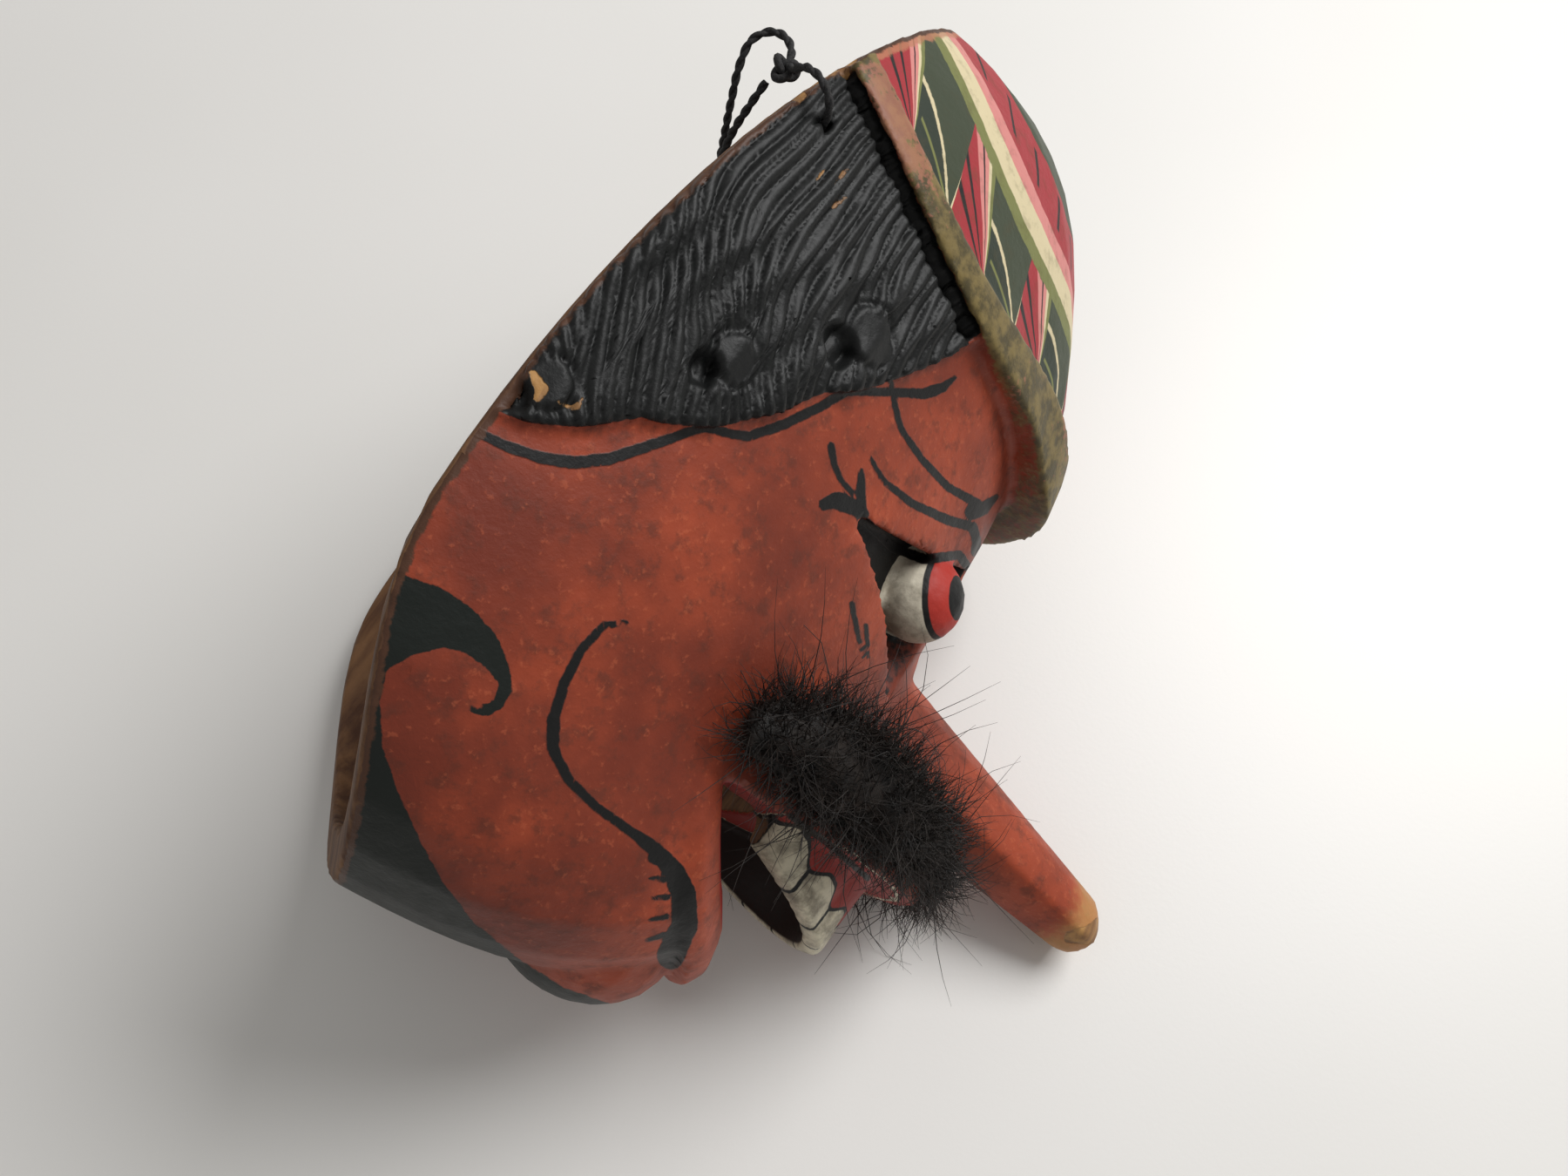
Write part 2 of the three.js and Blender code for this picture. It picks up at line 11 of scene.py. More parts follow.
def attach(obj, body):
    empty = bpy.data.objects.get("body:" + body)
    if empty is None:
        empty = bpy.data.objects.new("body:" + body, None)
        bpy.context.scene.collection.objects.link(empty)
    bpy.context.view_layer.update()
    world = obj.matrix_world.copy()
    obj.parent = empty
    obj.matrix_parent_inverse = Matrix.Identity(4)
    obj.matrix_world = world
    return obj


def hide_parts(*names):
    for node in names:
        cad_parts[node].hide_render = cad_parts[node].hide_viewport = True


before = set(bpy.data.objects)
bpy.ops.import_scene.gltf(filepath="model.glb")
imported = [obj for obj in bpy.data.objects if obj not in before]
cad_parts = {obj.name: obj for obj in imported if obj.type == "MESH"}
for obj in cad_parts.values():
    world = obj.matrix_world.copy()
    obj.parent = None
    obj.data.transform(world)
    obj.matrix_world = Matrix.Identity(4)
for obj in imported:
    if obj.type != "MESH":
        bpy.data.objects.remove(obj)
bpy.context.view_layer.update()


# The table and the view: a plain white top, with the mask lying on its left side. The mask was carved
# upright, so its own frame (forwards, up and to its right, in millimetres) is turned here onto the table,
# and the camera looks down on its right side from a little behind and below the face.
TO_TABLE = Vector((0.381, -0.063, -0.923)).normalized()
VIEW_FROM_BEHIND = math.radians(14.5)
VIEW_FROM_BELOW = math.radians(17)
VIEW_ROLL = math.radians(29)
VIEW_CENTRE = Vector((67, 90, 0))
VIEW_DISTANCE = 262
PHOTO_WIDTH = 1800
PHOTO_HEIGHT = 1350
FOCAL_PIXELS = 1473
SENSOR_WIDTH = 36
TABLE_HALF_SIZE = 3.0
TABLE_SHADE = (0.80, 0.785, 0.755, 1)
TABLE_WHITE = (0.84, 0.825, 0.80, 1)

lay_flat = TO_TABLE.rotation_difference(Vector((0, 0, -1)))
crownward = lay_flat @ Vector((0, 1, 0))
lying_turn = (Quaternion((0, 0, 1), math.atan2(crownward.x, crownward.y)) @ lay_flat).to_matrix()


def vertex_array(mesh):
    places = np.empty(3 * len(mesh.vertices))
    mesh.vertices.foreach_get("co", places)
    return places.reshape(-1, 3)


carved_places = vertex_array(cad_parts["mask_body"].data) @ np.array(lying_turn)
lowest, highest = carved_places.min(axis=0), carved_places.max(axis=0)
mask_corner = Vector((lowest[0], lowest[1], (lowest[2] + highest[2]) / 2))


def on_table(point):
    """A point of the upright mask, in millimetres, where it lies on the table, in metres."""
    return lying_turn @ (Vector(point) / 1000 + mask_corner)


def upright(places):
    """Places on the table, in metres, as an array in the upright mask's frame, in millimetres."""
    return 1000 * (places @ np.array(lying_turn) - np.array(mask_corner))


forwards = Vector((math.cos(VIEW_FROM_BEHIND), 0, math.sin(VIEW_FROM_BEHIND)))
sidewards = Vector((-math.sin(VIEW_FROM_BEHIND), 0, math.cos(VIEW_FROM_BEHIND)))
upwards = Vector((0, math.cos(VIEW_FROM_BELOW), 0)) + sidewards * math.sin(VIEW_FROM_BELOW)
view_back = sidewards * math.cos(VIEW_FROM_BELOW) - Vector((0, math.sin(VIEW_FROM_BELOW), 0))
view_right = forwards * math.cos(VIEW_ROLL) + upwards * math.sin(VIEW_ROLL)
view_up = upwards * math.cos(VIEW_ROLL) - forwards * math.sin(VIEW_ROLL)
view_spot = VIEW_CENTRE + VIEW_DISTANCE * view_back

camera = bpy.data.objects.new("camera", bpy.data.cameras.new("camera"))
camera.data.sensor_width = SENSOR_WIDTH
camera.data.lens = SENSOR_WIDTH * FOCAL_PIXELS / PHOTO_WIDTH
camera.data.clip_start = 0.01
view_axes = Matrix((view_right, view_up, view_back)).transposed()
camera.matrix_world = Matrix.Translation(on_table(view_spot)) @ (lying_turn @ view_axes).to_4x4()
bpy.context.collection.objects.link(camera)
bpy.context.scene.camera = camera
bpy.context.scene.view_settings.view_transform = "Standard"


class Wire:
    """A socket of a finish: arithmetic on it adds Math nodes, and make adds any other node."""

    def __init__(self, tree, socket=None):
        self.tree = tree
        self.socket = socket

    def make(self, kind, settings, sockets, output=0):
        node = self.tree.nodes.new(kind)
        for name, value in settings.items():
            setattr(node, name, value)
        for name, value in sockets.items():
            if isinstance(value, Wire):
                self.tree.links.new(value.socket, node.inputs[name])
            else:
                node.inputs[name].default_value = value
        return Wire(self.tree, node.outputs[output])

    def maths(self, operation, *values):
        return self.make("ShaderNodeMath", {"operation": operation}, dict(enumerate(values)))

    def __add__(self, other):
        return self.maths("ADD", self, other)

    def __radd__(self, other):
        return self.maths("ADD", other, self)

    def __sub__(self, other):
        return self.maths("SUBTRACT", self, other)

    def __rsub__(self, other):
        return self.maths("SUBTRACT", other, self)

    def __mul__(self, other):
        return self.maths("MULTIPLY", self, other)

    def __rmul__(self, other):
        return self.maths("MULTIPLY", other, self)

    def __truediv__(self, other):
        return self.maths("DIVIDE", self, other)

    def __abs__(self):
        return self.maths("ABSOLUTE", self)

    def most(self, other):
        return self.maths("MAXIMUM", self, other)

    def fraction(self):
        return self.maths("FRACT", self)

    def between(self, low, high):
        """0 below low, 1 above high, smooth between."""
        return self.make(
            "ShaderNodeMapRange",
            {"interpolation_type": "SMOOTHSTEP"},
            {"Value": self, "From Min": low, "From Max": high},
        )

    def paint(self, under, over):
        """The colour over, laid on the colour under where this is 1."""
        return self.make("ShaderNodeMix", {"data_type": "RGBA"}, {0: self, 6: under, 7: over}, 2)

    def field(self, name):
        """A value that the mesh carries at its vertices."""
        return self.make("ShaderNodeAttribute", {"attribute_name": name}, {}, 2)

    def grain(self, place, scale, detail=3, roughness=0.6):
        """Noise from 0 to 1, with so many waves to a metre."""
        return self.make(
            "ShaderNodeTexNoise",
            {},
            {"Vector": place, "Scale": scale, "Detail": detail, "Roughness": roughness},
        )

    def place(self):
        return self.make("ShaderNodeTexCoord", {}, {}, 3)

    def stretched(self, place, scale):
        return self.make("ShaderNodeMapping", {}, {"Vector": place, "Scale": scale})


def new_finish(name):
    material = bpy.data.materials.new(name)
    material.use_nodes = True
    return material, Wire(material.node_tree), material.node_tree.nodes["Principled BSDF"]


def finish_surface(wire, shader, colour, roughness, height, depth):
    wire.tree.links.new(colour.socket, shader.inputs["Base Color"])
    wire.tree.links.new(roughness.socket, shader.inputs["Roughness"])
    bump = wire.make("ShaderNodeBump", {}, {"Height": height, "Distance": depth, "Strength": 1.0})
    wire.tree.links.new(bump.socket, shader.inputs["Normal"])


def add_piece(name, mesh, material):
    piece = bpy.data.objects.new(name, mesh)
    bpy.context.collection.objects.link(piece)
    piece.data.materials.append(material)
    return piece


table_material, wire, shader = new_finish("table_top")
spread = wire.grain(wire.place(), 3.0)
table_colour = spread.between(0.3, 0.7).paint(TABLE_SHADE, TABLE_WHITE)
finish_surface(wire, shader, table_colour, 0.35 + 0.1 * spread, wire.grain(wire.place(), 900.0), 0.00002)
top = bmesh.new()
bmesh.ops.create_grid(top, x_segments=2, y_segments=2, size=TABLE_HALF_SIZE)
table_mesh = bpy.data.meshes.new("table_top")
top.to_mesh(table_mesh)
top.free()
table = add_piece("table_top", table_mesh, table_material)


# The hanging cord: black cotton string of two plies twisted together. It comes out of the right temple
# hole, goes over the rim, is knotted and makes a small loop, and hangs across the open back to the left
# temple hole, with a short tail from the knot.
PLY_RADIUS = 0.5
PLY_OFFSET = 0.25
PLY_TURN = 5.0
CORD_STEP = 0.3
CORD_ROUTE = [
    (19, 139.5, 60.5),
    (18.9, 139.6, 64.2),
    (17.3, 140.6, 67.2),
    (14.5, 142.1, 67.9),
    (11.8, 143.5, 66),
    (10.2, 144.2, 62.4),
    (9.4, 145.7, 61),
    (8.6, 148.3, 60.6),
    (6.6, 150.1, 59.9),
    (4.1, 150.2, 58.3),
    (2.4, 148.1, 56.4),
    (3, 145, 53.4),
    (5, 142, 48.4),
    (7.8, 139.3, 40.6),
    (11.6, 136.6, 29.5),
    (16.2, 135.6, 16),
    (21, 135.2, 2),
    (26, 135.2, -12),
    (30.6, 135.8, -25),
    (33.6, 136.8, -36),
    (33, 138.2, -43.4),
    (28.8, 139.2, -47.4),
    (23.8, 139.5, -48.8),
    (20.4, 139.5, -50.8),
    (19.1, 139.5, -54.4),
    (19, 139.5, -58),
]
TAIL_ROUTE = [
    (8, 142.6, 57.6),
    (7.9, 140.2, 54.6),
    (8, 137.4, 49),
    (9, 135.2, 42),
    (10.8, 133.6, 34),
    (13.6, 132.4, 25),
    (16.8, 131.6, 16),
]
KNOT_CENTRE = Vector((9.3, 144.6, 60.6))
KNOT_SIZE = 0.72
KNOT_RADIUS = 0.00068
KNOT_POINTS = 60
CURVE_PARTS = 40
TIP_TAPER = 0.85
STRING_BLACK = (0.006, 0.006, 0.007, 1)
STRING_GREY = (0.035, 0.033, 0.032, 1)


def smooth_line(route, spacing):
    """Points at even steps along a centripetal curve through a route."""
    knots = [Vector(p) for p in route]
    knots = [2 * knots[0] - knots[1], *knots, 2 * knots[-1] - knots[-2]]
    fine = []
    for k in range(1, len(knots) - 2):
        before, start, end, after = knots[k - 1 : k + 3]
        gaps = [(b - a).length ** 0.5 for a, b in ((before, start), (start, end), (end, after))]
        leave = (start - before) / gaps[0] - (end - before) / (gaps[0] + gaps[1]) + (end - start) / gaps[1]
        arrive = (end - start) / gaps[1] - (after - start) / (gaps[1] + gaps[2]) + (after - end) / gaps[2]
        for j in range(CURVE_PARTS):
            t = j / CURVE_PARTS
            blend = (2 * t**3 - 3 * t**2 + 1) * start + (3 * t**2 - 2 * t**3) * end
            fine.append(blend + gaps[1] * ((t**3 - 2 * t**2 + t) * leave + (t**3 - t**2) * arrive))
    fine.append(knots[-2])
    places = np.array(fine)
    travelled = np.concatenate(([0], np.cumsum(np.linalg.norm(np.diff(places, axis=0), axis=1))))
    steps = np.linspace(0, travelled[-1], max(2, round(travelled[-1] / spacing) + 1))
    return [Vector([np.interp(s, travelled, places[:, k]) for k in range(3)]) for s in steps]


def tube_mesh(name, lines, radius, roundness=2, pointed=False):
    """Round strands along lines of table points, in metres, as one mesh."""
    curve = bpy.data.curves.new(name, "CURVE")
    curve.dimensions = "3D"
    curve.bevel_depth = radius
    curve.bevel_resolution = roundness
    curve.use_fill_caps = True
    for line in lines:
        spline = curve.splines.new("POLY")
        spline.points.add(len(line) - 1)
        for k, (point, place) in enumerate(zip(spline.points, line)):
            point.co = (*place, 1)
            point.radius = 1 - TIP_TAPER * k / (len(line) - 1) if pointed else 1
    holder = bpy.data.objects.new(name, curve)
    bpy.context.collection.objects.link(holder)
    mesh = bpy.data.meshes.new_from_object(holder.evaluated_get(bpy.context.evaluated_depsgraph_get()))
    bpy.data.objects.remove(holder)
    for face in mesh.polygons:
        face.use_smooth = True
    return mesh


def plies(line):
    """Two strands wound round a line, each as table points."""
    across = Vector((0.3, 0.9, 0.2))
    wound = [[], []]
    for k, place in enumerate(line):
        along = (line[min(k + 1, len(line) - 1)] - line[max(k - 1, 0)]).normalized()
        across = (across - across.dot(along) * along).normalized()
        other = along.cross(across)
        for ply in range(2):
            angle = 2 * math.pi * k * CORD_STEP / PLY_TURN + ply * math.pi
            offset = across * math.cos(angle) + other * math.sin(angle)
            wound[ply].append(on_table(place + PLY_OFFSET * offset))
    return wound


string_material, wire, shader = new_finish("black_string")
fuzz = wire.grain(wire.place(), 2600.0, 4)
string_colour = fuzz.between(0.35, 0.75).paint(STRING_BLACK, STRING_GREY)
finish_surface(wire, shader, string_colour, 0.75 + 0.15 * fuzz, fuzz, 0.0001)

overhand = []
for k in range(KNOT_POINTS):
    t = 2 * math.pi * k / (KNOT_POINTS - 1)
    bend = Vector((math.sin(t) + 2 * math.sin(2 * t), math.cos(t) - 2 * math.cos(2 * t), -math.sin(3 * t)))
    overhand.append(on_table(KNOT_CENTRE + KNOT_SIZE * bend))
knot = add_piece("cord_knot", tube_mesh("cord_knot", [overhand], KNOT_RADIUS), string_material)
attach(knot, "root")

for cord_name, node, route, far_end in (
    ("hanging_string", "hanging_cord", CORD_ROUTE, "object"),
    ("string_tail", "cord_tail", TAIL_ROUTE, "bare"),
):
    line = smooth_line(route, CORD_STEP)
    path = [on_table(p) for p in line]
    length = sum((b - a).length for a, b in zip(path, path[1:]))
    string = add_piece(cord_name, tube_mesh(cord_name, plies(line), PLY_RADIUS / 1000), string_material)
    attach(string, "root")
    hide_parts(node)


# The mask: one block of light wood, carved outside, hollowed from behind, and painted by hand. The face is
# red, the hair black lacquer over fine gouge cuts, the headband dull gold, the cap patterned with petals
# and stripes, and the hollow and the rim are bare wood darkened by handling.
SKIN_STEP = 0.0009
SKIN_KEPT = 0.10
SKIN_EDGE_LIMITS = (0.0020, 0.0011, 0.0008)
FAR_OFF = 5
AXIS_HEIGHT = 99
CROWN_ABOVE_AXIS = 105
HALF_WIDTH = 66
FACE_DEPTH = 99
CROWN_SQUARENESS = 2.2
JAW_SQUARENESS = 3.2
PROFILE_POWER = 1.65
MEAN_RADIUS = 75
HOLLOW_MIDDLE_X = 40
HOLLOW_FRONT_X = 84
RIM_TURN_Y = 54
RIM_STRAIGHT_Y = 190
RIM_BOW = 0.0017
RIM_CHIN_BOW = 0.0125
RIM_CHIN_LIMIT = 45
BAND_FRONT_X = 76
BAND_FRONT_Y = 132.5
BAND_FRONT_DIP = 3.5
BAND_FRONT_WIDER = 0.92
BAND_SWEEP = 0.0059
BAND_WIDTH = 6.5
HAIRLINE_Y = 69
HAIRLINE_RISE = 0.35
HAIRLINE_SWEEP = 0.0108
SCALLOP_LENGTH = 23
SCALLOP_DEPTH = 2.5
EYE_CENTRE = np.array((86, 96.5, 22))
EYE_RADII = np.array((9, 9, 8.2))
EYE_GAZE = np.array((0.63, 0.3, 0.71))
SOCKET_CORNERS = np.array(((47, 93), (11, 111.5), (17, 77)))
MOUTH_CORNERS = np.array(((60, 44.5), (65.5, 29), (73, 18), (190, 18), (190, 48.6)))
MOUTH_MIDDLE = np.array((88, 35, 0))
PALATE_SLOPE = 0.0313
TEETH_BACK = 76
TEETH_REACH = 31
TEETH_HALF_SPAN = 26
TEETH_COUNT = 8
TEETH_ARC = 172
TOOTH_WIDTH = 11
TEETH_SIDE_DROP = 5
TEETH_FRONT_DROP = 17
GROOVE_PITCH = 2.2
GROOVE_DEPTH = 0.85
LOCK_PITCH = 8
LOCK_HEIGHT = 0.55
COMB_TURN_Y = 118
COMB_SPREAD = 20
BAND_GROOVE_DEPTH = 2.6
CURL_HEIGHT = 0.6
CURL_RING_DEPTH = 0.5
CURL_POCKET_DEPTH = 2.4
CURL_PIXELS = ((630, 440), (845, 410), (1000, 385))
CURL_RADII = (3.4, 3.6, 4.4)
PETAL_START = 2.2
PETAL_TURN = 23.8

# Brush lines, as points of the photograph with a width at the start, the middle and the end
BRUSH_LINES = (
    (((536, 490), (578, 511), (619, 525), (657, 531), (699, 527), (763, 506), (807, 490)), (8, 13, 9)),
    (((807, 490), (839, 498), (860, 501), (900, 487), (940, 468), (972, 449), (1021, 450)), (8, 10, 8)),
    (((1021, 450), (1061, 452), (1082, 445), (1096, 433)), (8, 12, 3)),
    (((1022, 434), (1026, 460), (1034, 492), (1058, 527), (1088, 559), (1122, 578)), (4, 6, 9)),
    (((1116, 588), (1128, 584), (1144, 570)), (16, 14, 4)),
    (
        ((999, 525), (1013, 551), (1047, 578), (1088, 597), (1117, 605), (1121, 621), (1120, 634)),
        (3, 10, 9),
    ),
    (((954, 511), (958, 535), (966, 552), (978, 565)), (7, 5, 5)),
    (((946, 579), (960, 574), (975, 580), (991, 590)), (12, 20, 12)),
    (((989, 541), (988, 565), (989, 596)), (5, 10, 9)),
    (((989, 594), (1026, 629), (1061, 642), (1101, 637), (1114, 655)), (8, 10, 8)),
    (((978, 693), (984, 725), (991, 755)), (5, 4, 2)),
    (((994, 718), (996, 740), (997, 757)), (4, 3, 2)),
    (((719, 714), (693, 718), (667, 746), (648, 783), (635, 827)), (5, 9, 11)),
    (((635, 827), (635, 860), (652, 894), (685, 927), (722, 953)), (14, 9, 9)),
    (((722, 953), (752, 975), (774, 1001), (785, 1027), (786, 1062), (770, 1097)), (9, 26, 30)),
    (((757, 992), (744, 986)), (4, 4, 2)),
    (((763, 1010), (746, 1008)), (5, 4, 2)),
    (((766, 1030), (748, 1031)), (5, 4, 2)),
    (((766, 1052), (746, 1056)), (5, 4, 2)),
    (((762, 1073), (742, 1080)), (5, 4, 2)),
    (((907, 937), (950, 968), (996, 1008)), (5, 6, 5)),
)
# The outline of the painted beard, and chips in the paint given like the brush lines
BEARD_CORNERS = (
    (456, 657), (508, 675), (545, 701), (571, 731), (586, 768), (587, 794), (578, 812), (560, 823),
    (542, 819), (530, 805), (545, 810), (567, 805), (573, 786), (560, 768), (534, 749), (508, 744),
    (471, 753), (445, 768), (436, 805), (439, 857), (460, 916), (482, 964), (508, 1012), (545, 1060),
    (600, 1104), (648, 1134), (700, 1152), (725, 1180), (640, 1260), (480, 1220), (350, 1100), (320, 900),
    (350, 740), (420, 645),
)
CHIP_LINES = (
    (((612, 432), (622, 448), (616, 460)), (10, 16, 6)),
    (((640, 462), (660, 468), (668, 458)), (3, 5, 3)),
    (((930, 88), (950, 78), (975, 66)), (22, 26, 20)),
    (((912, 112), (924, 108)), (8, 10, 4)),
    (((934, 208), (944, 197)), (2, 4, 2)),
    (((957, 212), (970, 196)), (2, 5, 2)),
    (((957, 238), (971, 226)), (2, 5, 2)),
    (((668, 322), (690, 300)), (3, 6, 3)),
    (((1228, 1076), (1250, 1074), (1262, 1060)), (14, 22, 14)),
)


def smoothstep(low, high, value):
    t = np.clip((value - low) / (high - low), 0, 1)
    return t * t * (3 - 2 * t)


def rim_forward(y):
    """How far forwards the rim lies at a height: bowed from the jaw up, and straight at the crown."""
    below = RIM_CHIN_BOW * (RIM_TURN_Y - y) ** 2
    bow = np.minimum(y, RIM_STRAIGHT_Y) - RIM_TURN_Y
    above = RIM_BOW * bow * (bow + 2 * np.maximum(0, y - RIM_STRAIGHT_Y))
    return np.where(y < RIM_TURN_Y, below / (1 + below / RIM_CHIN_LIMIT), above)


def band_slant(x):
    """How much taller the headband stands where it climbs towards the crown."""
    return np.hypot(1, 2 * BAND_SWEEP * np.maximum(0, BAND_FRONT_X - x))


def band_edge(x, width):
    """Height of the headband's lower edge, or of a line that lies a width above it."""
    back = np.maximum(0, BAND_FRONT_X - x)
    lower = BAND_FRONT_Y + BAND_SWEEP * back**2 - BAND_FRONT_DIP * smoothstep(84, 104, x)
    return lower + width * (1 + BAND_FRONT_WIDER * smoothstep(45, 100, x)) * band_slant(x)


def hairline(x):
    """Height of the hair's lower edge, which hangs in shallow scallops."""
    scallop = np.abs(np.sin(math.pi * (x + 4) / SCALLOP_LENGTH))
    return HAIRLINE_Y + HAIRLINE_RISE * x + HAIRLINE_SWEEP * x**2 - SCALLOP_DEPTH * scallop


def depth_under_head(p):
    """How far a point lies under the plain egg of the head, in millimetres."""
    radial = np.hypot(p[:, 1] - AXIS_HEIGHT, p[:, 2]) + 1e-6
    side = np.abs(p[:, 2]) / radial
    rise = (p[:, 1] - AXIS_HEIGHT) / radial
    half_height = np.where(rise > 0, CROWN_ABOVE_AXIS, AXIS_HEIGHT)
    square = np.where(rise > 0, CROWN_SQUARENESS, JAW_SQUARENESS)
    reach = ((side / HALF_WIDTH) ** square + (np.abs(rise) / half_height) ** square) ** (-1 / square)
    lift = np.degrees(np.arcsin(rise))
    temple = 0.15 * smoothstep(18, 40, lift) + 0.9 * smoothstep(50, 85, lift)
    power = PROFILE_POWER + temple + 1.35 * smoothstep(48, 80, -lift)
    rim = rim_forward(AXIS_HEIGHT + reach * rise)
    ahead = np.maximum(0, p[:, 0] - rim) / (FACE_DEPTH - rim)
    return MEAN_RADIUS * (1 - ((radial / reach) ** power + ahead**power) ** (1 / power))


def line_distance(pixels, lines):
    """Distance of pixels from the edge of the nearest brush line, negative inside it."""
    nearest = np.full(len(pixels), 1e3)
    for points, (first, middle, last) in lines:
        points = np.array(points, float)
        count = len(points) - 1
        for k in range(count):
            step = points[k + 1] - points[k]
            along = np.clip(((pixels - points[k]) @ step) / (step @ step), 0, 1)
            gap = np.linalg.norm(pixels - points[k] - along[:, None] * step, axis=1)
            t = (k + along) / count
            thickening = first + (middle - first) * 2 * t
            width = np.where(t < 0.5, thickening, middle + (last - middle) * (2 * t - 1))
            nearest = np.minimum(nearest, gap - width / 2)
    return nearest


def inside_distance(places, corners):
    """Distance of places inside the edge of a closed outline, negative outside it."""
    corners = np.array(corners, float)
    nearest = np.full(len(places), 1e3)
    inside = np.zeros(len(places), bool)
    for a, b in zip(corners, np.roll(corners, -1, axis=0)):
        step = b - a
        along = np.clip(((places - a) @ step) / (step @ step), 0, 1)
        nearest = np.minimum(nearest, np.linalg.norm(places - a - along[:, None] * step, axis=1))
        crosses = (a[1] > places[:, 1]) != (b[1] > places[:, 1])
        height = np.where(abs(step[1]) > 1e-9, step[1], 1e-9)
        inside ^= crosses & (places[:, 0] < a[0] + step[0] * (places[:, 1] - a[1]) / height)
    return np.where(inside, nearest, -nearest)


def photo_pixels(p):
    """Where points of the right side stand in the photograph, and how many millimetres a pixel covers."""
    away = p - np.array(view_spot)
    depth = -away @ np.array(view_back)
    across = PHOTO_WIDTH / 2 + FOCAL_PIXELS * (away @ np.array(view_right)) / depth
    down = PHOTO_HEIGHT / 2 - FOCAL_PIXELS * (away @ np.array(view_up)) / depth
    return np.stack([across, down], axis=1), depth / FOCAL_PIXELS


carved_tree = BVHTree.FromPolygons(
    [v.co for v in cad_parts["mask_body"].data.vertices],
    [p.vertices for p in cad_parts["mask_body"].data.polygons],
)


def spot_at(pixel):
    """The point of the mask that the camera sees at a pixel of the photograph, in the mask's frame."""
    across = (pixel[0] - PHOTO_WIDTH / 2) / FOCAL_PIXELS
    down = (pixel[1] - PHOTO_HEIGHT / 2) / FOCAL_PIXELS
    ray = lying_turn @ (across * view_right - down * view_up - view_back)
    hit = carved_tree.ray_cast(on_table(view_spot), ray.normalized())[0]
    return upright(np.array(hit))


curls = [(spot_at(pixel)[:2], radius) for pixel, radius in zip(CURL_PIXELS, CURL_RADII)]


def combed(x, y):
    """A coordinate across the gouge cuts, which run along the rim and turn down to the hairline."""
    above = (y - COMB_TURN_Y) / COMB_SPREAD
    return x + 2 * above - 9 * np.log(np.cosh(above)) + 0.9 * np.sin((y + 0.5 * x) / 6)


def hair_relief(x, y, under_band):
    """Height of the gouged hair over the carved locks, in millimetres."""
    waved = x - rim_forward(y) + 2.5 * np.sin((y - 0.4 * x) / 11)
    lock = np.cos(2 * math.pi * waved / LOCK_PITCH)
    bent = combed(x, y)
    for (cx, cy), radius in curls:
        bent = bent + 2.2 * np.exp(-((np.hypot(x - cx, y - cy) / (radius + 3)) ** 2)) * np.sign(x - cx)
    ridge = np.abs(np.sin(math.pi * bent / GROOVE_PITCH))
    height = LOCK_HEIGHT * (1 - lock) + GROOVE_DEPTH * (ridge**0.7 - 0.9)
    for (cx, cy), radius in curls:
        gap = np.hypot(x - cx, y - cy)
        height = height - CURL_RING_DEPTH * np.exp(-(((gap - radius - 0.7) / 0.6) ** 2))
        disc = smoothstep(radius + 0.4, radius - 0.5, gap)
        height = height + disc * (CURL_HEIGHT - height)
        pocket = np.hypot(x - cx + 0.9 * radius, y - cy + 1.25 * radius)
        height = height - CURL_POCKET_DEPTH * smoothstep(radius * 0.95, radius * 0.35, pocket)
    return height - BAND_GROOVE_DEPTH * smoothstep(3.2, 1.6, under_band)


def mouth_fields(p, n):
    """The inside of the mouth and, on the arch of teeth, the height over the tips and the way to a gap."""
    x, y = p[:, 0], p[:, 1]
    to_mouth = MOUTH_MIDDLE - p
    to_mouth /= np.linalg.norm(to_mouth, axis=1)[:, None]
    lip_inside = np.einsum("ij,ij->i", n, to_mouth)
    along = (x - TEETH_BACK) / TEETH_REACH
    across = p[:, 2] / TEETH_HALF_SPAN
    span = np.hypot(along, across)
    angle = np.degrees(np.arctan2(across, along))
    palate = MOUTH_CORNERS[0][1] + PALATE_SLOPE * (x - MOUTH_CORNERS[0][0])
    towards_front = np.clip(np.cos(np.radians(angle)), 0, 1)
    drop = TEETH_SIDE_DROP + (TEETH_FRONT_DROP - TEETH_SIDE_DROP) * towards_front
    tooth = (TEETH_ARC / 2 - angle) / TEETH_ARC * TEETH_COUNT
    in_arch = (span > 0.6) & (span < 1.3) & (np.abs(angle) < 88) & (y < palate + 1) & (x > 70)
    return {
        "mouth": np.minimum(inside_distance(p[:, :2], MOUTH_CORNERS) + 1.2, 8 * lip_inside),
        "tooth_up": np.where(in_arch, y - palate + drop, -FAR_OFF),
        "tooth_gap": (0.5 - np.abs(tooth - np.floor(tooth) - 0.5)) * TOOTH_WIDTH,
        "arch_inside": np.where(in_arch, 28 * (0.95 - span), -FAR_OFF),
    }


